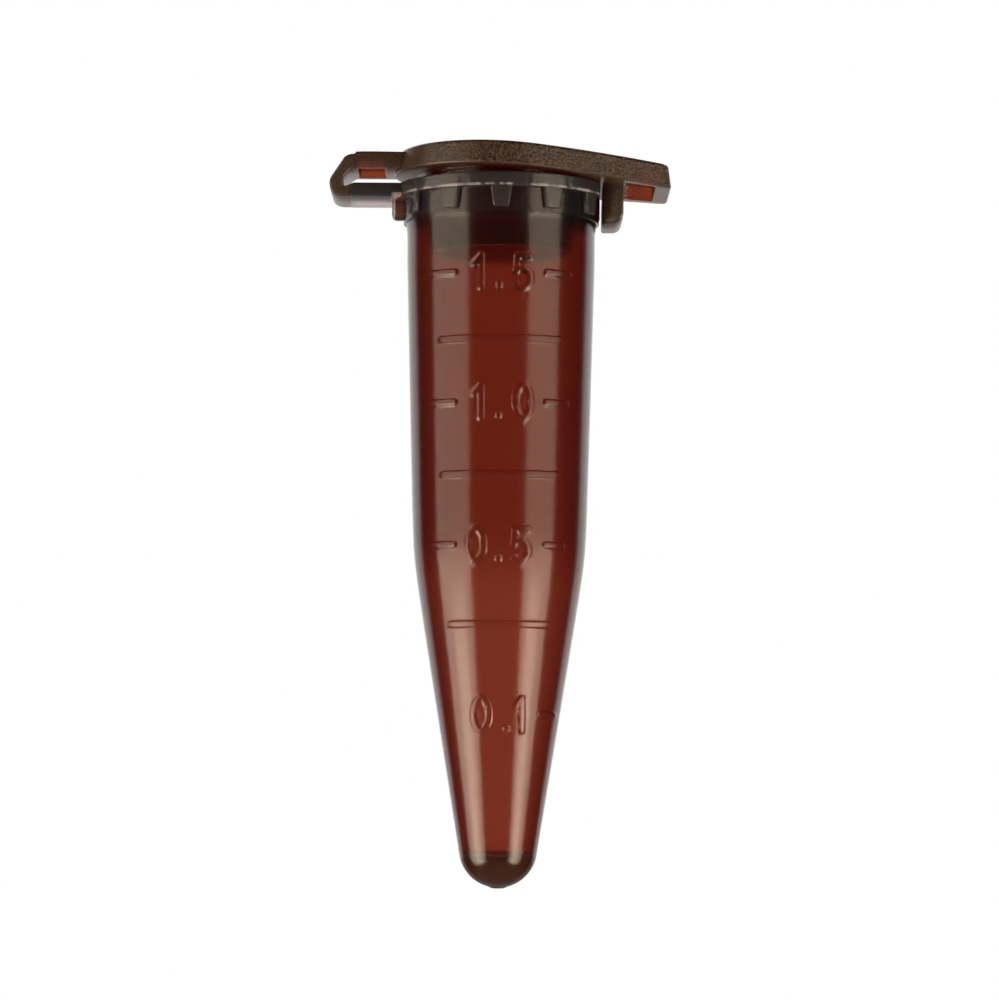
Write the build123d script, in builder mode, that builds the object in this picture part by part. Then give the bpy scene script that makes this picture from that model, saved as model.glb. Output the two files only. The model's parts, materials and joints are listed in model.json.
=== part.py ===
from build123d import *
import math
import os

# Microcentrifuge tube, nominal 1.5 ml, in millimetres.
# The origin is on the tube's axis, in the plane of the ledge under the collar: the plane in which
# the tube sits on a rack. +Z points up to the lid, +X to the latch and lift tab, -X to the folding
# strap. The lid is closed.
# The real tube, strap and lid are one moulding. They are split here where the strap folds and
# where one feature ends and the next begins, and neighbours meet face to face.

# --- barrel, heights from the seat plane ---
TIP_DEPTH = 38.4          # seat plane down to the tip
FLARE_RADIUS = 5.54       # the barrel flares up to the ledge under the collar
LAND_RADIUS = 5.45        # plain cylinder under the flare, fits an 11 mm rack hole
LAND_TOP_DEPTH = 0.85
LAND_DEPTH = 2.25         # lower end of the plain cylinder, where the drafted barrel starts
CONE_DEPTH = 19.4         # seat plane down to the start of the cone
CONE_RADIUS = 5.01
CONE_SLOPE = 0.1625       # radius lost per millimetre of depth, 9.2 degrees
TIP_RADIUS = 2.27         # rounded tip
BREAK_ROUNDING = 18.0     # soft blend between barrel and cone
BARREL_WALL = 0.75
CONE_WALL = 0.62
CAVITY_FLOOR = 1.75       # solid plastic under the cavity
FLOOR_ROUNDING = 0.6
NECK_RADIUS = 5.28        # outside of the tube inside the collar
SHOULDER = 0.2            # height of the shoulder that steps in to the neck
MOUTH_RADIUS = 4.72       # bore at the mouth
MOUTH_LEAD_IN = 0.2

# --- collar round the mouth ---
COLLAR_BOTTOM = 1.4       # underside of the flange
COLLAR_TOP = 2.2          # rim of the tube
FLANGE_RADIUS = 6.15
SLEEVE_RADIUS = 5.68      # plain ring between the lugs, its lower end is the seat
LATCH_FLAT = 5.7          # distance from the axis to the flat where the latch passes
FLANGE_EDGE = 0.12
LUG_COUNT = 12
LUG_RADIUS = 6.02
LUG_WIDTH = 1.35
LUG_TAPER = 8
LUG_FOOT = 0.25           # the lugs stop a little above the seat
BUTTRESS_RADIUS = 6.35    # the one under the strap root stands further out

# --- graduations, raised ---
MARK_HEIGHT = 0.12        # and as deep again under the surface, then trimmed by the tube
MARK_WIDTH = 0.35
NUMBERED_DEPTHS = (3.4, 10.8, 18.9, 28.5)   # two short ticks beside each number
PLAIN_DEPTHS = (7.2, 14.9, 23.4)            # one long line half way between numbers
TICK_INNER_ANGLE = 26
TICK_OUTER_ANGLE = 49
LINE_HALF_ANGLE = 39
FRONT_AZIMUTH = -90       # the scale faces -Y, a quarter turn from the strap

# --- lid, on its own plane: pulled down a little at the latch ---
LID_TILT = 2.5            # degrees
LID_BOTTOM = 2.6          # underside of the lid plate on the tube's axis
LID_THICKNESS = 1.4
LID_RADIUS = 6.22         # at the underside
LID_DRAFT = 10            # degrees, the side wall leans in towards the top
TAB_REACH = 9.85          # axis to the end of the lift tab
TAB_HALF_WIDTH = 3.0
TAB_CORNER = 0.5
TAB_POCKET_DEPTH = 0.75
TAB_POCKET_START = 7.35
TAB_LIP = 0.85            # material left at the end of the tab
TAB_RIB = 0.75            # and along its sides

# --- plug, coaxial with the bore ---
PLUG_BOTTOM = -1.7
PLUG_ROOT_RADIUS = 4.5
SEAL_RADIUS = 4.64        # sealing bead
SEAL_HEIGHT = 1.5         # middle of the bead
SEAL_WIDTH = 0.5
PLUG_TIP_RADIUS = 4.05
PLUG_WALL = 0.75
PLUG_CHAMFER = 0.15

# --- latch hook, under the tab root ---
LATCH_HALF_WIDTH = 2.4
LATCH_INNER = 6.05        # inner face of the arm
LATCH_OUTER = 7.08
CLAW_REACH = 5.84         # inner face of the claw
CLAW_TOP = 0.75
CLAW_TIP = -0.2           # lowest point, on the inner side
LATCH_HEEL = -0.1         # lowest point of the outer side
HEEL_ROUNDING = 0.55

# --- folding strap ---
STRAP_HALF_WIDTH = 2.3
LEAF_THICKNESS = 0.75     # leaf on the tube, flush with the flange's underside
LID_LEAF_BOTTOM = 3.0
LID_LEAF_THICKNESS = 0.93
LOWER_FOLD_X = -9.5       # axis of the fold next to the tube
LINK_LENGTH = 1.85        # from fold to fold
LINK_THICKNESS = 0.75
LOWER_FOLD_ANGLE = 115    # turned by the lower fold from closed to fully open
FOLD_GAP = 0.035          # running gap round the link's rounded ends
NOTCH_WIDTH = 0.9         # notch on the inner side of the lower fold

LOWER_FOLD_Z = COLLAR_BOTTOM + LEAF_THICKNESS / 2
LINK_LEAN = 180 - LOWER_FOLD_ANGLE
UPPER_FOLD_X = LOWER_FOLD_X + LINK_LENGTH * math.cos(math.radians(LINK_LEAN))
UPPER_FOLD_Z = LOWER_FOLD_Z + LINK_LENGTH * math.sin(math.radians(LINK_LEAN))
FOLD_RELIEF = LINK_THICKNESS / 2 + FOLD_GAP

tilt = math.radians(LID_TILT)
lid_plane = Plane(
    origin=(0, 0, LID_BOTTOM),
    x_dir=(math.cos(tilt), 0, -math.sin(tilt)),
    z_dir=(math.sin(tilt), 0, math.cos(tilt)),
)
side_plane = Plane.XZ     # sketch x is the part's X, sketch y is its Z

os.makedirs("parts", exist_ok=True)


def outer_radius(depth):
    """Outside radius of the barrel or cone at a depth under the seat plane."""
    if depth > CONE_DEPTH:
        return CONE_RADIUS - CONE_SLOPE * (depth - CONE_DEPTH)
    share = (depth - LAND_DEPTH) / (CONE_DEPTH - LAND_DEPTH)
    return LAND_RADIUS + (CONE_RADIUS - LAND_RADIUS) * share


def meridian(azimuth):
    """The plane through the tube's axis whose sketch x points outwards at an azimuth in degrees."""
    a = math.radians(azimuth)
    return Plane(origin=(0, 0, 0), x_dir=(math.cos(a), math.sin(a), 0),
                 z_dir=(math.sin(a), -math.cos(a), 0))


def teardrop(radius, reach, half_width):
    """The lid's outline: a circle with two straight sides that run tangent to it into the tab."""
    corner = math.hypot(reach, half_width)
    turn = math.asin(radius / corner) - math.atan2(half_width, reach)
    tangent_x, tangent_y = radius * math.sin(turn), radius * math.cos(turn)
    with BuildSketch() as outline:
        with BuildLine():
            Polyline((tangent_x, -tangent_y), (reach, -half_width),
                     (reach, half_width), (tangent_x, tangent_y))
            ThreePointArc((tangent_x, tangent_y), (-radius, 0), (tangent_x, -tangent_y))
        make_face()
        fillet(outline.vertices().sort_by(Axis.X)[-2:], TAB_CORNER)
    return outline.sketch


# --- tube body ---
cone_inner_tip = outer_radius(TIP_DEPTH - CAVITY_FLOOR) - CONE_WALL
tangent_lift = TIP_RADIUS * (1 - math.sin(math.atan(CONE_SLOPE)))
tangent_radius = TIP_RADIUS * math.cos(math.atan(CONE_SLOPE))
tip_z = -TIP_DEPTH
arc_middle = math.radians(45)
with BuildPart() as tube_body:
    with BuildSketch(side_plane) as tube_section:
        with BuildLine() as tube_outline:
            Polyline((0, tip_z + CAVITY_FLOOR), (cone_inner_tip, tip_z + CAVITY_FLOOR),
                     (CONE_RADIUS - CONE_WALL, -CONE_DEPTH),
                     (LAND_RADIUS - BARREL_WALL, -LAND_DEPTH), (MOUTH_RADIUS, COLLAR_TOP),
                     (NECK_RADIUS, COLLAR_TOP), (NECK_RADIUS, SHOULDER),
                     (FLARE_RADIUS, SHOULDER), (FLARE_RADIUS, 0),
                     (LAND_RADIUS, -LAND_TOP_DEPTH), (LAND_RADIUS, -LAND_DEPTH),
                     (CONE_RADIUS, -CONE_DEPTH), (tangent_radius, tip_z + tangent_lift))
            ThreePointArc((tangent_radius, tip_z + tangent_lift),
                          (TIP_RADIUS * math.sin(arc_middle),
                           tip_z + TIP_RADIUS * (1 - math.cos(arc_middle))), (0, tip_z))
            Line((0, tip_z), (0, tip_z + CAVITY_FLOOR))
        make_face()
        breaks = tube_section.vertices().filter_by_position(
            Axis.Y, -CONE_DEPTH - MARK_HEIGHT, -CONE_DEPTH + MARK_HEIGHT)
        fillet(breaks, BREAK_ROUNDING)
        floor_edge = tube_section.vertices().filter_by_position(
            Axis.Y, tip_z + CAVITY_FLOOR - MARK_HEIGHT, tip_z + CAVITY_FLOOR + MARK_HEIGHT)
        fillet(floor_edge.sort_by(Axis.X)[-1], FLOOR_ROUNDING)
        mouth_edge = tube_section.vertices().group_by(Axis.Y)[-1].sort_by(Axis.X)[0]
        chamfer(mouth_edge, MOUTH_LEAD_IN)
    revolve(axis=Axis.Z)
tube_body.part.label = "tube_body"

# --- collar: sleeve, flange, lugs and the buttress under the strap ---
with BuildPart() as rim_collar:
    with BuildSketch(Plane.XY):
        Circle(SLEEVE_RADIUS)
    extrude(amount=COLLAR_BOTTOM)
    with BuildSketch(Plane.XY.offset(COLLAR_BOTTOM)):
        Circle(FLANGE_RADIUS)
    extrude(amount=COLLAR_TOP - COLLAR_BOTTOM)
    fillet(rim_collar.edges().filter_by(GeomType.CIRCLE).group_by(SortBy.RADIUS)[-1], FLANGE_EDGE)
    for i in range(1, LUG_COUNT):
        azimuth = i * 360 / LUG_COUNT
        reach = BUTTRESS_RADIUS if i == LUG_COUNT // 2 else LUG_RADIUS
        top = Plane(origin=(0, 0, COLLAR_BOTTOM), z_dir=(0, 0, -1),
                    x_dir=(math.cos(math.radians(azimuth)), math.sin(math.radians(azimuth)), 0))
        with BuildSketch(top):
            with Locations(((NECK_RADIUS + reach) / 2, 0)):
                Rectangle(reach - NECK_RADIUS, LUG_WIDTH)
        extrude(amount=COLLAR_BOTTOM - LUG_FOOT, taper=LUG_TAPER)
    with BuildSketch(Plane.XY):
        Circle(NECK_RADIUS)
    extrude(amount=COLLAR_TOP, mode=Mode.SUBTRACT)
    with BuildSketch(Plane.XY):
        Circle(FLARE_RADIUS)
    extrude(amount=SHOULDER, mode=Mode.SUBTRACT)
    with BuildSketch(Plane.XY.offset(COLLAR_BOTTOM)):
        with Locations((LATCH_FLAT + FLANGE_RADIUS, 0)):
            Rectangle(2 * FLANGE_RADIUS, 2 * FLANGE_RADIUS)
    extrude(amount=COLLAR_TOP - COLLAR_BOTTOM, mode=Mode.SUBTRACT)
rim_collar.part.label = "rim_collar"

# --- raised graduation lines ---
with BuildPart() as graduation_lines:
    spans = [(d, side * TICK_OUTER_ANGLE if side < 0 else TICK_INNER_ANGLE,
              TICK_OUTER_ANGLE - TICK_INNER_ANGLE) for d in NUMBERED_DEPTHS for side in (-1, 1)]
    spans += [(d, -LINE_HALF_ANGLE, 2 * LINE_HALF_ANGLE) for d in PLAIN_DEPTHS]
    for depth, start, sweep_angle in spans:
        high, low = depth - MARK_WIDTH / 2, depth + MARK_WIDTH / 2
        with BuildSketch(meridian(FRONT_AZIMUTH + start)):
            Polygon((outer_radius(high) - MARK_HEIGHT, -high),
                    (outer_radius(high) + MARK_HEIGHT, -high),
                    (outer_radius(low) + MARK_HEIGHT, -low),
                    (outer_radius(low) - MARK_HEIGHT, -low), align=None)
        revolve(axis=Axis.Z, revolution_arc=sweep_angle)
    add(tube_body.part, mode=Mode.SUBTRACT)
graduation_lines.part.label = "graduation_lines"

# --- lid plate with its lift tab ---
with BuildPart() as lid_plate:
    with BuildSketch(lid_plane):
        add(teardrop(LID_RADIUS, TAB_REACH, TAB_HALF_WIDTH))
    extrude(amount=LID_THICKNESS, taper=LID_DRAFT)
    with BuildSketch(lid_plane):
        pocket_end = TAB_REACH - TAB_LIP
        slope = (LID_RADIUS - TAB_HALF_WIDTH) / TAB_REACH
        near = TAB_HALF_WIDTH + slope * (TAB_REACH - TAB_POCKET_START) - TAB_RIB
        far = TAB_HALF_WIDTH - TAB_RIB
        Polygon((TAB_POCKET_START, -near), (pocket_end, -far), (pocket_end, far),
                (TAB_POCKET_START, near), align=None)
    extrude(amount=TAB_POCKET_DEPTH, mode=Mode.SUBTRACT)
lid_plate.part.label = "lid_plate"

# --- hollow plug with its sealing bead, cut off by the underside of the lid plate ---
plug_top = LID_BOTTOM + LID_RADIUS * math.tan(tilt)
seal_low, seal_high = SEAL_HEIGHT - SEAL_WIDTH / 2, SEAL_HEIGHT + SEAL_WIDTH / 2
with BuildPart() as lid_plug:
    with BuildSketch(side_plane):
        with BuildLine():
            Polyline((PLUG_ROOT_RADIUS, plug_top), (PLUG_ROOT_RADIUS, seal_high))
            ThreePointArc((PLUG_ROOT_RADIUS, seal_high), (SEAL_RADIUS, SEAL_HEIGHT),
                          (PLUG_ROOT_RADIUS, seal_low))
            Polyline((PLUG_ROOT_RADIUS, seal_low),
                     (PLUG_TIP_RADIUS, PLUG_BOTTOM + PLUG_CHAMFER),
                     (PLUG_TIP_RADIUS - PLUG_CHAMFER, PLUG_BOTTOM),
                     (PLUG_TIP_RADIUS - PLUG_WALL, PLUG_BOTTOM),
                     (PLUG_ROOT_RADIUS - PLUG_WALL, plug_top), (PLUG_ROOT_RADIUS, plug_top))
        make_face()
    revolve(axis=Axis.Z)
    with BuildSketch(lid_plane):
        Rectangle(4 * LID_RADIUS, 4 * LID_RADIUS)
    extrude(amount=LID_THICKNESS, mode=Mode.SUBTRACT)
lid_plug.part.label = "lid_plug"

# --- latch hook ---
with BuildPart() as lid_latch:
    with BuildSketch(side_plane) as latch_profile:
        Polygon((LATCH_INNER, LID_BOTTOM), (LATCH_INNER, CLAW_TOP + LATCH_INNER - CLAW_REACH),
                (CLAW_REACH, CLAW_TOP), (CLAW_REACH, CLAW_TIP), (LATCH_OUTER, LATCH_HEEL),
                (LATCH_OUTER, LID_BOTTOM), align=None)
        heel = latch_profile.vertices().group_by(Axis.X)[-1].sort_by(Axis.Y)[0]
        fillet(heel, HEEL_ROUNDING)
    extrude(amount=LATCH_HALF_WIDTH, both=True)
    with BuildSketch(lid_plane):
        Rectangle(4 * LID_RADIUS, 4 * LID_RADIUS)
    extrude(amount=LID_THICKNESS, mode=Mode.SUBTRACT)
lid_latch.part.label = "lid_latch"

# --- strap leaf on the tube, ending in the notch of the lower fold ---
with BuildPart() as strap_tube_leaf:
    with BuildSketch(side_plane):
        half = LEAF_THICKNESS / 2
        with Locations((LOWER_FOLD_X, LOWER_FOLD_Z)):
            Polygon((half / 2, -half), (-LOWER_FOLD_X - NECK_RADIUS, -half),
                    (-LOWER_FOLD_X - NECK_RADIUS, half), (NOTCH_WIDTH, half),
                    (FOLD_RELIEF / math.sin(math.radians(LINK_LEAN)), 0), align=None)
            Circle(FOLD_RELIEF, mode=Mode.SUBTRACT)
    extrude(amount=STRAP_HALF_WIDTH, both=True)
    add(rim_collar.part, mode=Mode.SUBTRACT)
    with BuildSketch(Plane.XY.offset(COLLAR_BOTTOM)):
        Circle(NECK_RADIUS)
    extrude(amount=LEAF_THICKNESS, mode=Mode.SUBTRACT)
strap_tube_leaf.part.label = "strap_tube_leaf"

# --- the short link between the two folds ---
with BuildPart() as strap_link:
    with BuildSketch(side_plane):
        with Locations(((LOWER_FOLD_X + UPPER_FOLD_X) / 2, (LOWER_FOLD_Z + UPPER_FOLD_Z) / 2)):
            SlotCenterToCenter(LINK_LENGTH, LINK_THICKNESS, rotation=LINK_LEAN)
    extrude(amount=STRAP_HALF_WIDTH, both=True)
strap_link.part.label = "strap_link"

# --- strap leaf on the lid ---
with BuildPart() as strap_lid_leaf:
    with BuildSketch(side_plane):
        bottom = LID_LEAF_BOTTOM
        top_of_leaf = LID_LEAF_BOTTOM + LID_LEAF_THICKNESS
        Polygon((UPPER_FOLD_X + FOLD_RELIEF, bottom), (-NECK_RADIUS, bottom),
                (-NECK_RADIUS, top_of_leaf), (UPPER_FOLD_X + FOLD_RELIEF / 2, top_of_leaf),
                align=None)
        with Locations((UPPER_FOLD_X, UPPER_FOLD_Z)):
            Circle(FOLD_RELIEF, mode=Mode.SUBTRACT)
    extrude(amount=STRAP_HALF_WIDTH, both=True)
    add(lid_plate.part, mode=Mode.SUBTRACT)
strap_lid_leaf.part.label = "strap_lid_leaf"

for node in (tube_body, rim_collar, graduation_lines, lid_plate, lid_plug, lid_latch,
             strap_tube_leaf, strap_link, strap_lid_leaf):
    export_step(node.part, f"parts/{node.part.label}.step")
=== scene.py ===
import bpy
import bmesh
import json
import math
import numpy as np
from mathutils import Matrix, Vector


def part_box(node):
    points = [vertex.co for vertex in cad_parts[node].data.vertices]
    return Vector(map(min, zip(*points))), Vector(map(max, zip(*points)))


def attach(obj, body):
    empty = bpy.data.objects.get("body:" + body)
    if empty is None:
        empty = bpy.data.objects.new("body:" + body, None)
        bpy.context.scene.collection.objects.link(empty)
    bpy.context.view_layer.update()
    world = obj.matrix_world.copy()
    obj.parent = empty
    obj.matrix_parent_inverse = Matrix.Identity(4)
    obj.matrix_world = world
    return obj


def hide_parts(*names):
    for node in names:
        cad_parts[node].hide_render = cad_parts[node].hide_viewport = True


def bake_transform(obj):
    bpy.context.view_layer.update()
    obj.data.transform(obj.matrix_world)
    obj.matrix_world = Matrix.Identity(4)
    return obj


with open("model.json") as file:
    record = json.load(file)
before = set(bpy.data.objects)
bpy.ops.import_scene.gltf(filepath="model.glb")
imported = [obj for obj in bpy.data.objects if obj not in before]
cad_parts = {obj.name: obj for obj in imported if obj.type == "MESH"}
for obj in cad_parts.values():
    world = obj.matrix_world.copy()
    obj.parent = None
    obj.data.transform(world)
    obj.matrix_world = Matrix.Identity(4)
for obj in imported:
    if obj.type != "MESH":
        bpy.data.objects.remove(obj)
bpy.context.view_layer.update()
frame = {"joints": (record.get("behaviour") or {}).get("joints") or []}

# Microcentrifuge tube. Lengths in this script are millimetres and are turned into metres when a
# mesh is made. The origin is on the tube's axis in the plane of the ledge under the collar.
MM = 0.001


def lowest(node, axis):
    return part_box(node)[0][axis] / MM


def highest(node, axis):
    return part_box(node)[1][axis] / MM


def fold_point(joint_name):
    for joint in frame["joints"]:
        if joint["name"] == joint_name:
            return np.array(joint["pos_m"], float) / MM
    raise KeyError(joint_name)


TIP_Z = lowest("tube_body", 2)
RIM_Z = highest("rim_collar", 2)
LOWER_FOLD = fold_point("strap_lower_fold")
UPPER_FOLD = fold_point("strap_upper_fold")
STRAP_HALF_WIDTH = highest("strap_link", 1)

# --- barrel, depths from the seat plane down ---
LAND_RADIUS = 5.45        # plain cylinder that fits a rack hole
LAND_TOP_DEPTH = 0.85
LAND_DEPTH = 2.25         # its lower end, where the drafted barrel starts
FLARE_RADIUS = 5.54       # at the ledge under the collar
CONE_DEPTH = 19.4         # where the cone starts
CONE_RADIUS = 5.01
CONE_SLOPE = 0.1625       # radius lost per millimetre of depth
BREAK_SOFTNESS = 1.3      # length over which the barrel turns into the cone
TIP_RADIUS = 2.27
BARREL_WALL = 0.75
CONE_WALL = 0.62
FLOOR_THICKNESS = 1.75    # solid plastic under the cavity
GATE_RADIUS = 0.45        # low nub left at the tip by the mould's gate
GATE_HEIGHT = 0.05

# --- collar ---
SLEEVE_RADIUS = 5.68      # plain ring between the lugs
FLANGE_RADIUS = 6.15
FLANGE_Z = 1.4            # underside of the flange
NECK_RADIUS = 5.28
MOUTH_RADIUS = 4.72
LATCH_FLAT = 5.7          # distance from the axis to the flat beside the latch
LUG_COUNT = 12
LUG_RADIUS = 6.02
LUG_FOOT = 0.25
LUG_TOP_WIDTH = 1.3
LUG_BOTTOM_WIDTH = 0.9
LUG_EDGE = 0.1
BUTTRESS_RADIUS = 6.35    # the lug under the strap root stands further out
BUTTRESS_EDGE = 0.28
FLASH = 0.042             # mean reach of the ragged flash under the flange

# --- scale ---
MARK_HEIGHT = 0.08
MARK_WIDTH = 0.37
NUMBERS = ((3.4, "1.5"), (10.8, "1.0"), (18.9, "0.5"), (28.5, "0.1"))
PLAIN_DEPTHS = (7.2, 14.9, 23.4)   # long lines without a number
TICK_INNER_X = 2.45
TICK_OUTER_X = 4.05                # at the land, less in proportion lower down
LAST_TICK_INNER_X = 2.1     # the 0.1 mark has one tick, on its right
LAST_TICK_OUTER_X = 3.3
LINE_HALF_ANGLE = 39      # degrees
DIGIT_HEIGHT = 2.16

# --- lid ---
LID_BOTTOM = 2.64
LID_THICKNESS = 1.37
LID_RADIUS = 6.2
LID_DRAFT = 10            # degrees
LID_SLOPE = 0.0486        # fall towards the tab, per millimetre
LID_DROOP = 0.0043        # extra fall, per square millimetre
TAB_REACH = 9.75
TAB_HALF_WIDTH = 3.2
TAB_CORNER = 0.6
PLUG_BOTTOM = -1.7
PLUG_ROOT_RADIUS = 4.5
PLUG_TIP_RADIUS = 4.05
PLUG_WALL = 0.75
SEAL_RADIUS = 4.64
SEAL_HEIGHT = 1.5
POCKET_DEPTH = 0.78
POCKET_START = 7.12
POCKET_END = 8.9
POCKET_HALF_WIDTH = 3.0   # at its start, less at its end
POCKET_END_HALF_WIDTH = 2.8
LATCH_HALF_WIDTH = 2.4
LATCH_OUTER = 7.05
LATCH_INNER = 5.9         # at its root
CLAW_REACH = 5.84
CLAW_TIP = -0.18
LATCH_HEEL = -0.12
LATCH_SPLAY = 0.19        # width gained outwards, as a share per millimetre


# ---------------------------------------------------------------- mesh tools
def mesh_object(name, points, faces):
    mesh = bpy.data.meshes.new(name)
    mesh.from_pydata([tuple(p) for p in np.asarray(points) * MM], [], faces)
    mesh.validate()
    solid = bpy.data.objects.new(name, mesh)
    bpy.context.scene.collection.objects.link(solid)
    tidy(mesh)
    return solid


def tidy(mesh):
    """Merges doubled points and turns all faces outwards."""
    work = bmesh.new()
    work.from_mesh(mesh)
    bmesh.ops.remove_doubles(work, verts=work.verts, dist=1e-7)
    bmesh.ops.recalc_face_normals(work, faces=work.faces)
    work.to_mesh(mesh)
    work.free()


def rounded(points, radii, steps=5):
    """A polyline with its corners turned into arcs. radii has one value per point, 0 for sharp."""
    out = []
    for i, corner in enumerate(points):
        corner = np.array(corner, float)
        before = np.array(points[i - 1], float) - corner
        after = np.array(points[(i + 1) % len(points)], float) - corner
        if radii[i] == 0:
            out.append(corner)
            continue
        before /= np.linalg.norm(before)
        after /= np.linalg.norm(after)
        half = math.acos(np.clip(before @ after, -1, 1)) / 2
        reach = radii[i] / math.tan(half)
        centre = corner + (before + after) / np.linalg.norm(before + after) * radii[i] / math.sin(half)
        first, last = corner + before * reach - centre, corner + after * reach - centre
        turn = math.atan2(first[0] * last[1] - first[1] * last[0], first @ last)
        for k in range(steps + 1):
            a = turn * k / steps
            spin = np.array([[math.cos(a), -math.sin(a)], [math.sin(a), math.cos(a)]])
            out.append(centre + spin @ first)
    return out


def loft(loops, closed_ends=True):
    """Points and faces of a solid through closed loops with the same number of points."""
    count = len(loops[0])
    points = [p for loop in loops for p in loop]
    faces = []
    for i in range(len(loops) - 1):
        for k in range(count):
            n = (k + 1) % count
            faces.append((i * count + k, i * count + n, (i + 1) * count + n, (i + 1) * count + k))
    if closed_ends:
        faces.append(tuple(range(count))[::-1])
        faces.append(tuple((len(loops) - 1) * count + k for k in range(count)))
    return points, faces


def extruded(name, outline, half_width, edge=0.1, steps=3):
    """A solid from an X, Z outline, along Y, with softened edges at both faces."""
    centre = np.mean(outline, axis=0)
    spread = np.array(outline) - centre
    size = np.linalg.norm(spread, axis=1, keepdims=True)
    profile = [(half_width - edge * (1 - math.sin(t)), edge * (1 - math.cos(t)))
               for t in np.radians(np.linspace(90, 0, steps + 1))]
    loops = []
    for y, inset in [(-y, inset) for y, inset in profile] + profile[::-1]:
        ring = centre + spread * (1 - inset / size)
        loops.append([(x, y, z) for x, z in ring])
    points, faces = loft(loops)
    return mesh_object(name, points, faces)


def combine(base, others, operation):
    """Exact boolean of base with the other solids, which are then deleted."""
    group = bpy.data.collections.new("operands")
    bpy.context.scene.collection.children.link(group)
    for other in others:
        group.objects.link(other)
    step = base.modifiers.new("combine", "BOOLEAN")
    step.solver = "EXACT"
    step.operation = operation
    step.operand_type = "COLLECTION"
    step.collection = group
    bpy.context.view_layer.update()
    depsgraph = bpy.context.evaluated_depsgraph_get()
    result = bpy.data.meshes.new_from_object(base.evaluated_get(depsgraph))
    base.modifiers.clear()
    old = base.data
    base.data = result
    bpy.data.meshes.remove(old)
    for other in others:
        bpy.data.objects.remove(other, do_unlink=True)
    bpy.data.collections.remove(group)
    result.name = base.name


def smooth(solid, angle=32):
    solid.data.shade_smooth()
    solid.data.set_sharp_from_angle(angle=math.radians(angle))


# ---------------------------------------------------------------- scale relief
def ellipse(cx, cy, rx, ry, start=0, end=360, steps=28):
    """Points round an ellipse, from one angle to another in degrees."""
    turns = np.radians(np.linspace(start, end, steps + 1))
    return [(cx + rx * math.cos(t), cy + ry * math.sin(t)) for t in turns]


def glyph(character):
    """Centre line of a character, in digit heights: x from 0 at its left edge, y from -0.5 to 0.5."""
    if character == "0":
        return ellipse(0.27, 0, 0.27, 0.5)
    if character == "1":
        return [(0.0, 0.25), (0.22, 0.5), (0.22, -0.5)]
    if character == "5":
        bowl = ellipse(0.22, -0.2, 0.3, 0.3, 118, -128, 16)
        return [(0.5, 0.5), (0.07, 0.5), (0.03, 0.02)] + bowl
    return [(0.0, -0.46), (0.0, -0.44)]


# left edge of each character, along the surface from the front
NUMBER_PLACES = {
    "1.5": (-1.52, -0.1, 0.82),
    "1.0": (-1.52, -0.1, 0.82),
    "0.5": (-1.86, -0.06, 0.76),
    "0.1": (-1.5, 0.43, 0.95),
}


def number_strokes(text, depth):
    """The centre lines of a number, centred on a depth."""
    scale = DIGIT_HEIGHT - MARK_WIDTH
    return [[(left + x * scale, depth - y * scale) for x, y in glyph(character)]
            for character, left in zip(text, NUMBER_PLACES[text])]


def stroke_distance(u, depth, stroke):
    """Distance from points on the unrolled barrel to a line of straight pieces."""
    best = np.full(u.shape, 1e9)
    for (x0, y0), (x1, y1) in zip(stroke[:-1], stroke[1:]):
        dx, dy = x1 - x0, y1 - y0
        t = np.clip(((u - x0) * dx + (depth - y0) * dy) / (dx * dx + dy * dy), 0, 1)
        best = np.minimum(best, np.hypot(u - x0 - t * dx, depth - y0 - t * dy))
    return best


def smoothstep(low, high, value):
    t = np.clip((value - low) / (high - low), 0, 1)
    return t * t * (3 - 2 * t)


def scale_relief(azimuth, radius, depth):
    """Height of the raised scale over the barrel. azimuth is 0 at the front, in radians."""
    u = azimuth * radius
    x = radius * np.sin(azimuth)
    front = np.abs(azimuth) < math.pi / 2
    distance = np.full(u.shape, 1e9)
    for mark_depth, text in NUMBERS:
        if abs(depth - mark_depth).min() > DIGIT_HEIGHT:
            continue
        for stroke in number_strokes(text, mark_depth):
            distance = np.minimum(distance, stroke_distance(u, depth, stroke))
        inner, outer = TICK_INNER_X, TICK_OUTER_X * radius / LAND_RADIUS
        side = np.abs(x)
        if text == "0.1":
            inner, outer, side = LAST_TICK_INNER_X, LAST_TICK_OUTER_X, x
        along = np.maximum(inner + MARK_WIDTH / 2 - side, side - outer + MARK_WIDTH / 2)
        tick = np.hypot(np.maximum(along, 0), depth - mark_depth)
        distance = np.minimum(distance, np.where(front, tick, 1e9))
    for mark_depth in PLAIN_DEPTHS:
        if abs(depth - mark_depth).min() > DIGIT_HEIGHT:
            continue
        over = (np.abs(azimuth) - math.radians(LINE_HALF_ANGLE)) * radius
        line = np.hypot(np.maximum(over, 0), depth - mark_depth)
        distance = np.minimum(distance, np.where(front, line, 1e9))
    return MARK_HEIGHT * (1 - smoothstep(MARK_WIDTH / 2 - 0.06, MARK_WIDTH / 2 + 0.05, distance))


# ---------------------------------------------------------------- tube
def outer_radius(depth):
    """Outside radius of the barrel and cone at a depth under the seat plane."""
    over = depth - CONE_DEPTH
    barrel_slope = (LAND_RADIUS - CONE_RADIUS) / (CONE_DEPTH - LAND_DEPTH)
    softened = (over + math.hypot(over, BREAK_SOFTNESS)) / 2
    straight = LAND_RADIUS - barrel_slope * max(depth - LAND_DEPTH, 0)
    return straight - (CONE_SLOPE - barrel_slope) * softened


def tube_columns():
    """Azimuths of the mesh columns: fine over the numbers, coarser behind."""
    numbers = np.arange(-33, 33, 0.75)
    ticks = np.arange(33, 54, 1.2)
    back = np.arange(54, 306, 1.8)
    return np.radians(np.concatenate([numbers, ticks, back, np.arange(306, 327, 1.2)]))


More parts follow.
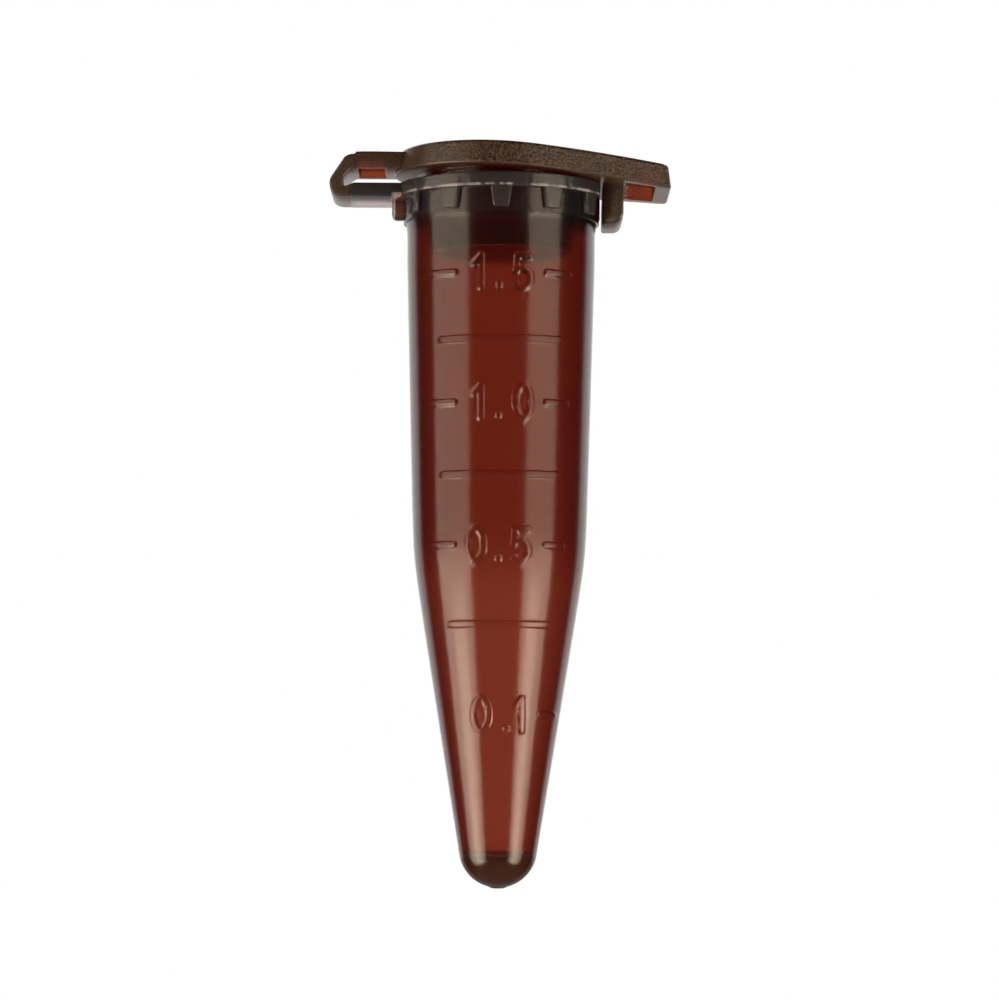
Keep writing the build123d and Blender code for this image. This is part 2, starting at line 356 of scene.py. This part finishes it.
def tube_depths():
    """Depths of the mesh rows between the tip and the plain land: fine over each mark."""
    bottom = -TIP_Z - TIP_RADIUS * (1 - math.sin(math.atan(CONE_SLOPE)))
    depths = list(np.arange(0.1, bottom - 0.2, 0.45)) + [bottom]
    for mark_depth, _ in NUMBERS:
        reach = DIGIT_HEIGHT / 2 + 0.1
        depths = [d for d in depths if abs(d - mark_depth) > reach]
        depths += list(np.arange(mark_depth - reach, mark_depth + reach + 0.01, 0.068))
    for mark_depth in PLAIN_DEPTHS:
        depths = [d for d in depths if abs(d - mark_depth) > 0.35]
        depths += list(np.arange(mark_depth - 0.34, mark_depth + 0.35, 0.0485))
    return sorted(depths, reverse=True)


def tip_rows():
    """Radius and height of the mesh rows over the rounded tip, from the bottom up."""
    top = math.degrees(math.atan(CONE_SLOPE))
    rows = []
    for turn in np.radians(np.linspace(90, top, 16)[1:-1]):
        r = TIP_RADIUS * math.cos(turn)
        z = TIP_Z + TIP_RADIUS * (1 - math.sin(turn))
        rows.append((r, z))
    return rows


def gate(radius):
    """How far the gate nub hangs under the rounded tip at a radius."""
    return GATE_HEIGHT * float(smoothstep(1.35 * GATE_RADIUS, 0.75 * GATE_RADIUS, radius))


def build_tube():
    """Tube and collar as one turned mesh with the scale raised on it, joined to the lugs and leaf."""
    azimuths = tube_columns()
    near_gate = [(r, TIP_Z + TIP_RADIUS - math.sqrt(TIP_RADIUS ** 2 - r * r) - gate(r))
                 for r in (0.12, 0.22, 0.3, 0.38, 0.46, 0.54, 0.62)]
    outer = [(r, z, "plain") for r, z in near_gate]
    outer += [(r, z, "plain") for r, z in tip_rows() if r > 0.7]
    for depth in tube_depths():
        radius = outer_radius(depth)
        if depth < LAND_TOP_DEPTH:
            radius += (FLARE_RADIUS - LAND_RADIUS) * (1 - depth / LAND_TOP_DEPTH) ** 2
        outer.append((radius, -depth, "scale"))
    collar = rounded(
        [(FLARE_RADIUS, 0), (SLEEVE_RADIUS, 0), (SLEEVE_RADIUS, FLANGE_Z), (FLANGE_RADIUS, FLANGE_Z),
         (FLANGE_RADIUS, RIM_Z), (MOUTH_RADIUS + 0.2, RIM_Z), (MOUTH_RADIUS, RIM_Z - 0.25)],
        [0.02, 0.05, 0.06, 0.05, 0.1, 0.1, 0.2], steps=4)
    for r, z in collar[1:-1]:
        at_edge = r > FLANGE_RADIUS - 0.04 and z < FLANGE_Z + 0.1
        outer.append((r, z, "flash" if at_edge else "plain"))
        if at_edge and z > FLANGE_Z + 0.05:
            outer.append((r, z + 0.05, "plain"))
    floor_z = TIP_Z + FLOOR_THICKNESS
    floor_radius = outer_radius(-floor_z) - CONE_WALL
    inner = [(MOUTH_RADIUS, 1.0), (MOUTH_RADIUS - 0.01, 0)]
    inner += [(LAND_RADIUS - BARREL_WALL, -LAND_DEPTH)]
    for depth in np.arange(LAND_DEPTH + 1, -floor_z - 0.7, 0.8):
        share = smoothstep(CONE_DEPTH - 2, CONE_DEPTH + 2, depth)
        inner.append((outer_radius(depth) - BARREL_WALL + (BARREL_WALL - CONE_WALL) * share, -depth))
    floor_corner = rounded([(floor_radius + 0.12, floor_z + 1), (floor_radius, floor_z), (0, floor_z)],
                           [0, 0.55, 0], steps=8)
    inner += [(r, z) for r, z in floor_corner[1:-1]]
    inner += [(floor_radius * s, floor_z) for s in (0.5, 0.2)]
    rows = outer + [(r, z, "plain") for r, z in inner]

    rng = np.random.default_rng(7)
    waves = [(k, rng.uniform(0, 2 * math.pi), rng.uniform(0.3, 1)) for k in (5, 9, 14, 23, 37, 61, 88)]
    ragged = sum(a * np.sin(k * azimuths + p) for k, p, a in waves) / 3
    points = [(0, 0, TIP_Z - GATE_HEIGHT)]
    for radius, z, kind in rows:
        radii = np.full(azimuths.shape, radius)
        if kind == "scale":
            wrapped = (azimuths + math.pi) % (2 * math.pi) - math.pi
            radii += scale_relief(wrapped, radius, np.full(azimuths.shape, -z))
        if kind == "flash":
            radii += FLASH * np.maximum(1 + ragged, 0.1)
        for a, r in zip(azimuths, radii):
            points.append((r * math.sin(a), -r * math.cos(a), z))
    points.append((0, 0, floor_z))
    count = len(azimuths)
    faces = []
    for i in range(len(rows) - 1):
        for k in range(count):
            n = (k + 1) % count
            faces.append((1 + i * count + k, 1 + i * count + n,
                          1 + (i + 1) * count + n, 1 + (i + 1) * count + k))
    last = 1 + (len(rows) - 1) * count
    for k in range(count):
        n = (k + 1) % count
        faces.append((0, 1 + n, 1 + k))
        faces.append((len(points) - 1, last + k, last + n))
    tube = mesh_object("tube_moulding", points, faces)
    lugs = [lug(i * 360 / LUG_COUNT, BUTTRESS_RADIUS if i == LUG_COUNT // 2 else LUG_RADIUS)
            for i in range(1, LUG_COUNT)]
    lugs.append(lug(0, LATCH_FLAT + 0.02))
    combine(tube, lugs + [tube_leaf()], "UNION")
    flat = box_solid("latch_flat", (LATCH_FLAT, -4, FLANGE_Z - 0.02), (8, 4, RIM_Z + 1))
    combine(tube, [flat], "DIFFERENCE")
    smooth(tube)
    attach(tube, "tube")
    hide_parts("tube_body", "rim_collar", "graduation_lines", "strap_tube_leaf")
    return tube


def solid_from(work, name):
    """Turns a bmesh drawn in millimetres into an object, and frees it."""
    for vertex in work.verts:
        vertex.co *= MM
    mesh = bpy.data.meshes.new(name)
    work.to_mesh(mesh)
    work.free()
    solid = bpy.data.objects.new(name, mesh)
    bpy.context.scene.collection.objects.link(solid)
    return solid


def box_solid(name, low, high, edge=0.0):
    """A box between two corners, with softened edges if edge is given."""
    work = bmesh.new()
    bmesh.ops.create_cube(work, size=1)
    for vertex in work.verts:
        vertex.co = [low[i] + (vertex.co[i] + 0.5) * (high[i] - low[i]) for i in range(3)]
    if edge:
        bmesh.ops.bevel(work, geom=work.edges[:], offset=edge, segments=3, profile=0.5,
                        affect="EDGES")
    return solid_from(work, name)


def lug(azimuth, reach):
    """One seat lug under the flange: narrower at its foot, with softened edges."""
    edge = BUTTRESS_EDGE if reach > FLANGE_RADIUS else LUG_EDGE
    work = bmesh.new()
    bmesh.ops.create_cube(work, size=1)
    for vertex in work.verts:
        top = vertex.co.z > 0
        width = LUG_TOP_WIDTH if top else LUG_BOTTOM_WIDTH
        vertex.co = ((reach if vertex.co.x > 0 else NECK_RADIUS + 0.1), vertex.co.y * width,
                     (FLANGE_Z + 0.2 if top else LUG_FOOT))
    outside = [e for e in work.edges if not all(v.co.x < NECK_RADIUS + 0.2 for v in e.verts)]
    bmesh.ops.bevel(work, geom=outside, offset=edge, segments=4, profile=0.5, affect="EDGES")
    turn = math.radians(azimuth)
    for vertex in work.verts:
        x, y, z = vertex.co
        vertex.co = (x * math.cos(turn) - y * math.sin(turn),
                     x * math.sin(turn) + y * math.cos(turn), z)
    return solid_from(work, "lug")


# ---------------------------------------------------------------- strap
# x, z stations along the folded strap, from the tube round to the lid
STRAP_OUTER = ((-5.1, 1.34), (-8.0, 1.34), (-8.75, 1.34), (-9.20, 1.34), (-9.50, 1.40), (-9.70, 1.50),
               (-9.83, 1.66), (-9.90, 1.95), (-9.92, 2.2), (-9.85, 2.45), (-9.70, 2.68), (-9.55, 2.91),
               (-9.39, 3.15), (-9.23, 3.39), (-9.06, 3.63), (-8.80, 3.78), (-8.48, 3.84), (-8.40, 3.93),
               (-7.6, 3.95), (-5.5, 3.93))
STRAP_INNER = ((-5.1, 2.13), (-8.0, 2.13), (-8.55, 2.13), (-8.74, 2.06), (-8.90, 1.98), (-9.03, 1.94),
               (-9.08, 2.0), (-9.10, 2.1), (-9.11, 2.22), (-9.10, 2.34), (-9.07, 2.46), (-9.0, 2.56),
               (-8.92, 2.67), (-8.82, 2.78), (-8.70, 2.88), (-8.58, 2.95), (-8.48, 3.0), (-8.40, 3.02),
               (-7.6, 3.02), (-5.5, 3.02))
LOWER_START, LINK_MIDDLE, UPPER_END = 2, 10, 17    # stations at which the strap is divided
LINK_NARROWING = 0.1      # the bends are this much narrower on each side than the leaves
STRAP_EDGE = 0.13
BEND_OVERLAP = 0.01       # each bend runs this far into its neighbours


def curve_through(points, per_span=4):
    """Catmull-Rom curve through the points."""
    points = np.array(points, float)
    ends = np.vstack([2 * points[0] - points[1], points, 2 * points[-1] - points[-2]])
    out = []
    for i in range(1, len(ends) - 2):
        a, b, c, d = ends[i - 1:i + 3]
        for k in range(per_span):
            t = k / per_span
            out.append(0.5 * (2 * b + (c - a) * t + (2 * a - 5 * b + 4 * c - d) * t * t
                              + (3 * b - a - 3 * c + d) * t ** 3))
    out.append(ends[-2])
    return out


def strap_stretch(name, first, last, overlap=0.0):
    """The strap between two stations of its section, as a solid with softened long edges."""
    outer = curve_through(STRAP_OUTER[first:last + 1])
    inner = curve_through(STRAP_INNER[first:last + 1])
    loops = []
    half = STRAP_HALF_WIDTH - (LINK_NARROWING if LOWER_START <= first and last <= UPPER_END else 0)
    for o, i in zip(outer, inner):
        across = o - i
        thick = np.linalg.norm(across)
        across /= thick
        section = rounded([(0, -half), (thick, -half), (thick, half), (0, half)], [STRAP_EDGE] * 4,
                          steps=3)
        loops.append([(i[0] + across[0] * t, y, i[1] + across[1] * t) for t, y in section])
    if overlap:
        for end, step in ((0, -1), (-1, 1)):
            towards = np.mean(loops[end], axis=0) - np.mean(loops[end - step], axis=0)
            towards /= np.linalg.norm(towards)
            loops[end] = [tuple(np.array(p) + towards * overlap) for p in loops[end]]
    points, faces = loft(loops)
    return mesh_object(name, points, faces)


def tube_leaf():
    return strap_stretch("tube_leaf", 0, LOWER_START)


def lid_leaf():
    return strap_stretch("lid_leaf", UPPER_END, len(STRAP_OUTER) - 1)


def build_strap():
    """The strap between its two leaves, as two bend pieces."""
    def fold(name, first, last, before, after):
        piece = strap_stretch(name, first, last, overlap=BEND_OVERLAP)
        smooth(piece, 50)
        direction = np.array(before, float) + np.array(after, float)
        direction /= np.linalg.norm(direction)
        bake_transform(piece)
        return piece

    link = (UPPER_FOLD - LOWER_FOLD) / np.linalg.norm(UPPER_FOLD - LOWER_FOLD)
    lower = fold("strap_lower_bend", LOWER_START, LINK_MIDDLE,
                 (-1, 0, 0), link)
    upper = fold("strap_upper_bend", LINK_MIDDLE, UPPER_END,
                 link, (1, 0, 0))
    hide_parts("strap_link")
    return lower, upper


# ---------------------------------------------------------------- lid
def teardrop(inset, arc_steps=84, side_steps=14, corner_steps=6):
    """The lid's outline, drawn in by inset: a circle run into a tab with rounded corners."""
    radius, reach, half = LID_RADIUS - inset, TAB_REACH - inset, TAB_HALF_WIDTH - inset
    corner = math.hypot(reach, half)
    turn = math.asin(radius / corner) - math.atan2(half, reach)
    tangent = np.array([radius * math.sin(turn), radius * math.cos(turn)])
    start = math.atan2(tangent[1], tangent[0])
    arc = [(radius * math.cos(a), radius * math.sin(a))
           for a in np.linspace(start, 2 * math.pi - start, arc_steps)]
    tip = rounded([tuple(tangent * (1, -1)), (reach, -half), (reach, half), tuple(tangent)],
                  [0, TAB_CORNER, TAB_CORNER, 0], steps=corner_steps)[1:-1]
    low = [tuple(arc[-1] + (np.array(tip[0]) - arc[-1]) * s)
           for s in np.linspace(0, 1, side_steps + 1)[1:-1]]
    end = [tuple(np.array(tip[corner_steps]) * (1 - s) + np.array(tip[corner_steps + 1]) * s)
           for s in np.linspace(0, 1, 9)[1:-1]]
    high = [(x, -y) for x, y in low[::-1]]
    return arc + low + tip[:corner_steps + 1] + end + tip[corner_steps + 1:] + high


def sag(points):
    """Puts points drawn on a flat lid onto the real one, tilted and drooping towards the tab."""
    out = []
    for x, y, h in points:
        out.append((x + h * LID_SLOPE, y, LID_BOTTOM + h - x * LID_SLOPE - LID_DROOP * x * x))
    return out


def build_lid():
    """Plate and tab as one lofted solid, joined to the plug, latch and strap leaf."""
    side = [(0.0, 0.1), (0.03, 0.04), (0.1, 0.0)]
    slope = math.tan(math.radians(LID_DRAFT))
    heights = np.linspace(0.1, LID_THICKNESS - 0.25, 7)[1:]
    side += [(h, (h - 0.1) * slope) for h in heights]
    crown = 0.25
    base_inset = (LID_THICKNESS - crown - 0.1) * slope
    for turn in np.radians(np.linspace(0, 90, 7)[1:]):
        side.append((LID_THICKNESS - crown + crown * math.sin(turn),
                     base_inset + crown * (1 - math.cos(turn))))
    loops = []
    for shrink in (0.15, 0.4, 0.62, 0.8, 0.92):
        loops.append([(x * shrink, y * shrink, 0.0) for x, y in teardrop(0.12)])
    loops += [[(x, y, h) for x, y in teardrop(inset)] for h, inset in side]
    for shrink in (0.92, 0.8, 0.62, 0.4, 0.15):
        loops.append([(x * shrink, y * shrink, LID_THICKNESS)
                      for x, y in teardrop(base_inset + crown + 0.02)])
    points, faces = loft([sag(loop) for loop in loops])
    lid = mesh_object("lid_moulding", points, faces)
    combine(lid, [tab_pocket()], "DIFFERENCE")
    combine(lid, [plug(), latch(), lid_leaf()], "UNION")
    recess = box_solid("leaf_recess", (-8.3, -1.75, 2.6), (-6.75, 1.75, 3.42), 0.12)
    combine(lid, [recess], "DIFFERENCE")
    smooth(lid)
    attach(lid, "lid")
    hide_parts("lid_plate", "lid_plug", "lid_latch", "strap_lid_leaf")
    return lid


def tab_pocket():
    """The hollow under the lift tab, narrower and shorter at its roof."""
    loops = []
    for h, inset in ((-0.4, 0.0), (POCKET_DEPTH - 0.12, 0.06), (POCKET_DEPTH - 0.03, 0.1),
                     (POCKET_DEPTH, 0.18)):
        start, end = POCKET_START + inset, POCKET_END - inset
        near, far = POCKET_HALF_WIDTH - inset, POCKET_END_HALF_WIDTH - inset
        ring = rounded([(start, -near), (end, -far), (end, far), (start, near)], [0.3] * 4, steps=4)
        loops.append(sag([(x, y, h) for x, y in ring]))
    points, faces = loft(loops)
    return mesh_object("pocket", points, faces)


def plug():
    """The hollow plug, a closed ring in section, sunk a little into the lid plate."""
    top = LID_BOTTOM + 0.55
    inner = PLUG_ROOT_RADIUS - PLUG_WALL
    outline = rounded(
        [(PLUG_ROOT_RADIUS, top), (PLUG_ROOT_RADIUS, SEAL_HEIGHT + 0.3), (SEAL_RADIUS, SEAL_HEIGHT),
         (PLUG_ROOT_RADIUS, SEAL_HEIGHT - 0.3), (PLUG_TIP_RADIUS, PLUG_BOTTOM),
         (PLUG_TIP_RADIUS - PLUG_WALL, PLUG_BOTTOM), (inner, top)],
        [0, 0.3, 0.2, 0.3, 0.16, 0.1, 0], steps=5)
    steps = 200
    loops = []
    for k in range(steps):
        a = 2 * math.pi * k / steps
        loops.append([(r * math.cos(a), r * math.sin(a), z) for r, z in outline])
    points, faces = loft(loops + [loops[0]], closed_ends=False)
    return mesh_object("plug", points, faces)


def latch():
    """The hook under the tab root, its heel well rounded and its sides splayed outwards."""
    top = LID_BOTTOM + 0.1
    outline = rounded(
        [(LATCH_INNER, top), (CLAW_REACH, 0.9), (CLAW_REACH, CLAW_TIP), (LATCH_OUTER, LATCH_HEEL),
         (LATCH_OUTER, top)], [0, 0.3, 0.12, 0.6, 0], steps=7)
    hook = extruded("latch", outline, LATCH_HALF_WIDTH, edge=0.26)
    for vertex in hook.data.vertices:
        vertex.co.y *= 1 + LATCH_SPLAY * (vertex.co.x / MM - LATCH_OUTER)
    return hook


# ---------------------------------------------------------------- materials
ABSORPTION_COLOUR = (0.63, 0.18, 0.0, 1)
ABSORPTION = 3500             # per metre
INDEX = 1.49
SHEEN_TINT = (1.0, 0.88, 0.78, 1)
# Colour of the small share of light that the plastic scatters, and the share that goes through
CLEAR_TINT = (1.0, 0.97, 0.95, 1)
SATIN_TINT = (0.5, 0.24, 0.13, 1)
# painted highlight: a whitish colour put on the ragged flash under the flange so that it shows as a
# bright line
PAINTED_FLASH_HIGHLIGHT_TINT = (0.6, 0.47, 0.4, 1)
SOLID_TINT = (0.5, 0.12, 0.03, 1)
CLEARNESS = 0.999
SATIN_CLEARNESS = 0.935
# painted highlight: how much of the flash edge shows that whitish diffuse colour
PAINTED_FLASH_HIGHLIGHT_CLEARNESS = 0.68
SOLID_CLEARNESS = 0.96
GRAIN_SIZE = 0.12
SPARKLE_SIZE = 0.15
WAVE_SIZE = 4.0


def node(tree, kind, **settings):
    """A new node with some of its settings or inputs given a value."""
    made = tree.nodes.new(kind)
    for key, value in settings.items():
        if key in ("operation", "noise_dimensions", "data_type", "interpolation_type", "feature"):
            setattr(made, key, value)
        else:
            made.inputs[key.replace("_", " ")].default_value = value
    return made


def ramp(tree, source, low, high, to_low, to_high):
    """A Map Range node from a socket, as a smooth step."""
    made = tree.nodes.new("ShaderNodeMapRange")
    made.interpolation_type = "SMOOTHSTEP"
    for key, value in (("From Min", low), ("From Max", high), ("To Min", to_low), ("To Max", to_high)):
        made.inputs[key].default_value = value
    tree.links.new(source, made.inputs["Value"])
    return made.outputs["Result"]


def maths(tree, operation, *operands):
    """A Math node on values or sockets."""
    made = tree.nodes.new("ShaderNodeMath")
    made.operation = operation
    for socket, operand in zip(made.inputs, operands):
        put(tree, operand, socket)
    return made.outputs[0]


def put(tree, value, socket):
    """Gives a socket its value, or links it to another socket."""
    if isinstance(value, (int, float, tuple)):
        socket.default_value = value
    else:
        tree.links.new(value, socket)


def mixed(tree, factor, first, second, kind="FLOAT"):
    """A Mix node from first to second, each a value or a socket."""
    if isinstance(factor, float) and factor == 0:
        return first
    made = tree.nodes.new("ShaderNodeMix")
    made.data_type = kind
    put(tree, factor, made.inputs[0])
    for index, value in zip({"FLOAT": (2, 3), "RGBA": (6, 7)}[kind], (first, second)):
        put(tree, value, made.inputs[index])
    return made.outputs[{"FLOAT": 0, "RGBA": 2}[kind]]


def amber(name, masks):
    """See-through amber polypropylene, its colour from absorption inside. masks(tree, x, y, z) gives
    four masks from 0 to 1: satin surface, coarse spark-eroded grain, a painted highlight along the
    flange's ragged flash edge, and solid plastic, which is thick enough to show its own brown haze."""
    material = bpy.data.materials.new(name)
    material.use_nodes = True
    tree = material.node_tree
    shader = tree.nodes["Principled BSDF"]
    shader.inputs["IOR"].default_value = INDEX
    shader.inputs["Specular Tint"].default_value = SHEEN_TINT
    volume = tree.nodes.new("ShaderNodeVolumeAbsorption")
    volume.inputs["Color"].default_value = ABSORPTION_COLOUR
    volume.inputs["Density"].default_value = ABSORPTION
    tree.links.new(volume.outputs[0], tree.nodes["Material Output"].inputs["Volume"])
    place = tree.nodes.new("ShaderNodeTexCoord").outputs["Object"]
    split = tree.nodes.new("ShaderNodeSeparateXYZ")
    tree.links.new(place, split.inputs[0])
    satin, eroded, painted_flash_highlight, solid = masks(tree, *split.outputs)

    def noise(size, detail):
        made = node(tree, "ShaderNodeTexNoise", Scale=1 / (size * MM), Detail=detail, Roughness=0.6)
        tree.links.new(place, made.inputs["Vector"])
        return made.outputs[0]

    def bump(height, depth, before=None, strength=1.0):
        made = node(tree, "ShaderNodeBump", Distance=depth * MM)
        tree.links.new(height, made.inputs["Height"])
        if before is not None:
            tree.links.new(before, made.inputs["Normal"])
        put(tree, strength, made.inputs["Strength"])
        return made.outputs[0]

    grain, sparkle = noise(GRAIN_SIZE, 2.0), noise(SPARKLE_SIZE, 3.0)
    normal = bump(grain, 0.0016, bump(noise(WAVE_SIZE, 2.0), 0.004))
    normal = bump(grain, 0.0025, normal, satin)
    normal = bump(sparkle, 0.06, normal, eroded)
    clear = mixed(tree, satin, CLEARNESS, SATIN_CLEARNESS)
    clear = mixed(tree, eroded, clear, ramp(tree, sparkle, 0.4, 0.62, 0.985, 0.87))
    # painted highlight along the flash edge: less see-through and whitish there
    clear = mixed(tree, painted_flash_highlight, clear, PAINTED_FLASH_HIGHLIGHT_CLEARNESS)
    clear = mixed(tree, solid, clear, SOLID_CLEARNESS)
    rough = mixed(tree, satin, ramp(tree, grain, 0.3, 0.7, 0.13, 0.2),
                  ramp(tree, grain, 0.3, 0.7, 0.26, 0.38))
    tint = mixed(tree, satin, CLEAR_TINT, SATIN_TINT, "RGBA")
    tint = mixed(tree, painted_flash_highlight, tint, PAINTED_FLASH_HIGHLIGHT_TINT, "RGBA")
    tint = mixed(tree, solid, tint, SOLID_TINT, "RGBA")
    put(tree, tint, shader.inputs["Base Color"])
    put(tree, clear, shader.inputs["Transmission Weight"])
    put(tree, rough, shader.inputs["Roughness"])
    put(tree, normal, shader.inputs["Normal"])
    return material


def ring_distance(tree, x, y):
    """Distance from the tube's axis."""
    return maths(tree, "SQRT", maths(tree, "ADD", maths(tree, "MULTIPLY", x, x),
                                     maths(tree, "MULTIPLY", y, y)))


def lid_masks(tree, x, y, z):
    """Satin all over but on the plug. The coarse grain is on the plate, but not its underside."""
    droop = maths(tree, "MULTIPLY", maths(tree, "MULTIPLY", x, x), LID_DROOP / MM)
    height = maths(tree, "ADD", maths(tree, "ADD", z, maths(tree, "MULTIPLY", x, LID_SLOPE)), droop)
    over = ramp(tree, height, (LID_BOTTOM + 0.03) * MM, (LID_BOTTOM + 0.12) * MM, 0, 1)
    beside = ramp(tree, x, -4.9 * MM, -3.3 * MM, 0, 1)
    outside = ramp(tree, ring_distance(tree, x, y), 4.8 * MM, 5.0 * MM, 0, 1)
    satin = maths(tree, "MAXIMUM", outside, over)
    return satin, maths(tree, "MULTIPLY", over, beside), 0.0, 0.0


def tube_masks(tree, x, y, z):
    """Partly satin on the lugs and flange, a painted highlight along the ragged flash under the flange,
    and solid at the tip.
    """
    radius = ring_distance(tree, x, y)
    above = ramp(tree, z, -0.02 * MM, 0.1 * MM, 0, 1)
    tip = ramp(tree, z, (TIP_Z + 1.75) * MM, (TIP_Z + 2.0) * MM, 1, 0)
    raised = ramp(tree, radius, (SLEEVE_RADIUS + 0.02) * MM, (SLEEVE_RADIUS + 0.1) * MM, 0.05, 0.3)
    edge = ramp(tree, radius, (FLANGE_RADIUS + 0.02) * MM, (FLANGE_RADIUS + 0.06) * MM, 0, 1)
    low = ramp(tree, z, (FLANGE_Z + 0.12) * MM, (FLANGE_Z + 0.18) * MM, 1, 0)
    front = ramp(tree, x, -6.4 * MM, -6.1 * MM, 0, 1)
    # painted highlight: the flash edge under the flange, except beside the strap root, made lighter
    flash = maths(tree, "MULTIPLY", maths(tree, "MULTIPLY", edge, low), front)
    return maths(tree, "MULTIPLY", raised, above), 0.0, flash, tip


def strap_masks(tree, x, y, z):
    """Satin all over."""
    return 0.9, 0.0, 0.0, 0.0


def paint(piece, material):
    piece.data.materials.clear()
    piece.data.materials.append(material)


def floor_material():
    """A pale matt floor that glows a little, so that it stays even."""
    material = bpy.data.materials.new("pale_floor")
    material.use_nodes = True
    tree = material.node_tree
    shader = tree.nodes["Principled BSDF"]
    shader.inputs["Base Color"].default_value = (0.93, 0.93, 0.93, 1)
    shader.inputs["Roughness"].default_value = 0.9
    shader.inputs["Emission Color"].default_value = (1, 1, 1, 1)
    shader.inputs["Emission Strength"].default_value = 0.7
    return material


# ---------------------------------------------------------------- stage, light and camera
FLOOR_Z = TIP_Z - 560
PANEL_DISTANCE = 500
LIGHT_COLOUR = (1.0, 0.94, 0.8)
FRONT_DARKNESS = 0.02     # brightness of the room in front, as the plastic mirrors it
FLOOR_SHADE = 0.28        # share of the room's brightness left low down
UNDER_LIGHT = 0.2         # brightness straight below


def build_stage():
    """A plain pale floor, far below because the tube hangs free."""
    size = 6000.0
    floor = mesh_object("floor", [(-size, -size, FLOOR_Z), (size, -size, FLOOR_Z),
                                  (size, size, FLOOR_Z), (-size, size, FLOOR_Z)], [(0, 1, 2, 3)])
    floor.data.materials.append(floor_material())
    floor.visible_glossy = False


def light_panel(name, azimuth, spread, low, high, radiance):
    """An upright soft panel beside the tube. azimuth runs from the front towards +X, in degrees."""
    a = math.radians(azimuth)
    light = bpy.data.lights.new(name, "AREA")
    light.shape = "RECTANGLE"
    light.size = 2 * PANEL_DISTANCE * math.tan(math.radians(spread)) * MM
    light.size_y = (high - low) * MM
    light.energy = radiance * math.pi * light.size * light.size_y
    light.color = LIGHT_COLOUR
    lamp = bpy.data.objects.new(name, light)
    lamp.location = Vector((PANEL_DISTANCE * math.sin(a), -PANEL_DISTANCE * math.cos(a),
                            (low + high) / 2)) * MM
    lamp.rotation_euler = (math.radians(90), 0, a)
    lamp.visible_camera = False
    lamp.visible_transmission = False
    bpy.context.scene.collection.objects.link(lamp)


def build_light():
    """A white room and soft panels at both sides.

    Straight on and through the plastic the room is white all round. To reflections and scattered
    light it is white only behind the tube, darker low down, and nearly black in front.
    """
    world = bpy.data.worlds.new("studio")
    bpy.context.scene.world = world
    world.use_nodes = True
    tree = world.node_tree
    background = tree.nodes["Background"]
    place = tree.nodes.new("ShaderNodeTexCoord")
    split = tree.nodes.new("ShaderNodeSeparateXYZ")
    tree.links.new(place.outputs["Generated"], split.inputs[0])
    behind = ramp(tree, split.outputs["Y"], 0.56, 0.7, FRONT_DARKNESS, 1.0)
    below = ramp(tree, split.outputs["Z"], -0.8, -0.5, UNDER_LIGHT, 0.0)
    level = ramp(tree, split.outputs["Z"], -0.3, -0.08, FLOOR_SHADE, 1.0)
    seen = maths(tree, "MAXIMUM", maths(tree, "MULTIPLY", behind, level), below)
    path = tree.nodes.new("ShaderNodeLightPath")
    direct = maths(tree, "MAXIMUM", path.outputs["Is Camera Ray"], path.outputs["Is Transmission Ray"])
    tree.links.new(mixed(tree, direct, seen, 1.0), background.inputs["Strength"])
    background.inputs["Color"].default_value = (1, 1, 1, 1)
    for side, azimuth, spread in (("left", -66, 26), ("right", 55, 21)):
        light_panel(side + "_panel", azimuth, spread, -50, 400, 2.2)
        light_panel(side + "_low_panel", azimuth, spread, -450, -50, 4.4)
        light_panel(side + "_low_core", azimuth * 0.96, spread * 0.45, -450, -130, 4.4)


CAMERA_DISTANCE = 217.7
CAMERA_ABOVE_TIP = 5.58
CAMERA_PITCH = 3.653      # degrees up
CAMERA_ROLL = 0.3         # degrees
CAMERA_LENS = 135.7
CAMERA_SHIFT = 0.05


def build_camera():
    """The photo's view: nearly level with the tip, tilted up a little."""
    lens = bpy.data.cameras.new("camera")
    lens.lens = CAMERA_LENS
    lens.sensor_width = 36
    lens.shift_y = CAMERA_SHIFT
    lens.clip_start = 0.005
    lens.clip_end = 20
    camera = bpy.data.objects.new("camera", lens)
    camera.location = Vector((0, -CAMERA_DISTANCE, TIP_Z + CAMERA_ABOVE_TIP)) * MM
    camera.rotation_euler = (math.radians(90 + CAMERA_PITCH), 0, 0)
    camera.rotation_euler.rotate_axis("Z", math.radians(CAMERA_ROLL))
    bpy.context.scene.collection.objects.link(camera)
    bpy.context.scene.camera = camera


scene = bpy.context.scene
scene.view_settings.view_transform = "Standard"
scene.cycles.max_bounces = 32
scene.cycles.transmission_bounces = 32
scene.cycles.glossy_bounces = 16
scene.cycles.volume_bounces = 0
scene.cycles.transparent_max_bounces = 16
scene.cycles.caustics_reflective = True
scene.cycles.caustics_refractive = True

build_camera()
build_light()
build_stage()
paint(build_tube(), amber("clear_amber", tube_masks))
strap_amber = amber("strap_amber", strap_masks)
for bend in build_strap():
    paint(bend, strap_amber)
paint(build_lid(), amber("frosted_amber", lid_masks))
